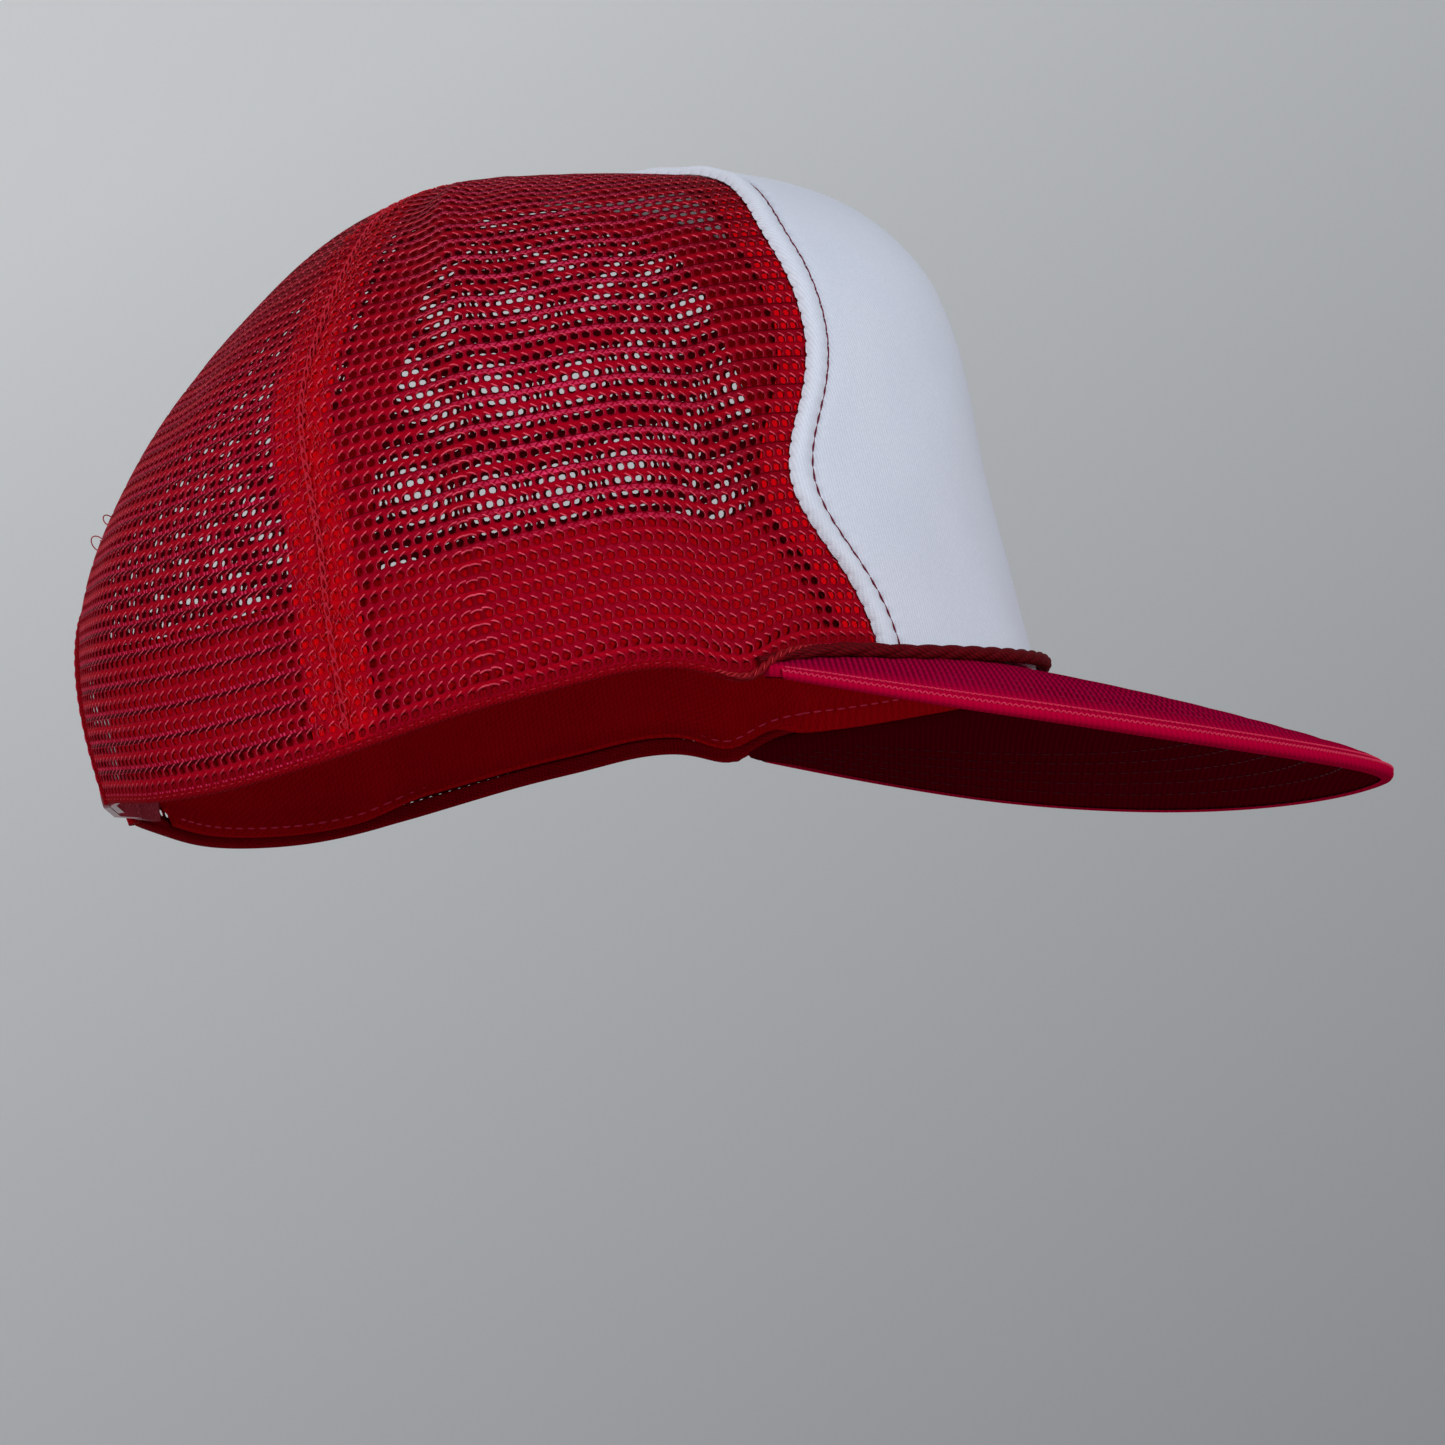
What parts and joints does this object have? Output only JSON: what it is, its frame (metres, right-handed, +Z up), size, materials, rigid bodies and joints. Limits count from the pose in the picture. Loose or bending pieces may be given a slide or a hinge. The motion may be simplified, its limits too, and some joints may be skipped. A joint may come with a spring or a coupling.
{
  "type": "trucker cap",
  "caption": "Trucker cap with a foam-backed white front, red net sides and back, a curved cloth-covered bill with a rope, and a plastic snap strap across the back opening.",
  "frame": {"origin": "centre of the head opening, in the level plane of the rim", "axes": "+X forward along the bill, +Y to the wearer's left, +Z up through the crown"},
  "size_m": [0.2555, 0.1648, 0.1463],
  "materials": {
    "white_knit": "smooth white warp knit, laminated to foam",
    "white_foam": "soft white open-cell foam",
    "red_net": "red polyester hexagon net with flat shiny bands",
    "red_tape": "bright red woven seam tape",
    "red_cloth": "red ribbed polyester cloth, slightly shiny",
    "dark_red_cloth": "dark red plain cloth",
    "dark_red_rope": "dark red twisted cord",
    "stiff_board": "pale stiff polyethylene board, hidden",
    "red_plastic": "half-clear pinkish red moulded snap strap plastic"
  },
  "bodies": {
    "crown": {"front_panel_face": "white_knit", "front_panel_foam": "white_foam", "left_side_mesh": "red_net", "right_side_mesh": "red_net", "left_back_mesh": "red_net", "right_back_mesh": "red_net", "left_front_seam_tape": "red_tape", "right_front_seam_tape": "red_tape", "left_side_seam_tape": "red_tape", "right_side_seam_tape": "red_tape", "center_back_seam_tape": "red_tape", "left_hem": "red_cloth", "right_hem": "red_cloth", "back_arch_binding": "red_cloth", "sweatband": "red_cloth", "bill_board": "stiff_board", "bill_top_cover": "red_cloth", "bill_bottom_cover": "dark_red_cloth", "rope": "dark_red_rope", "peg_strap_end": "red_plastic", "hole_strap_end": "red_plastic"},
    "hole_strap_body": {"hole_strap": "red_plastic"},
    "peg_strap_body": {"peg_strap": "red_plastic"}
  },
  "joints": [
    {"name": "hole_strap_bend", "type": "hinge", "parent": "crown", "child": "hole_strap_body", "pos_m": [-0.0893, 0.0174, 0.0075], "axis": [0, 0, -1], "range_deg": [0, 70], "stiffness_Nm_per_rad": 0.05},
    {"name": "peg_strap_bend", "type": "hinge", "parent": "crown", "child": "peg_strap_body", "pos_m": [-0.0893, -0.0174, 0.0075], "axis": [0, 0, -1], "range_deg": [0, 35], "stiffness_Nm_per_rad": 0.05}
  ]
}
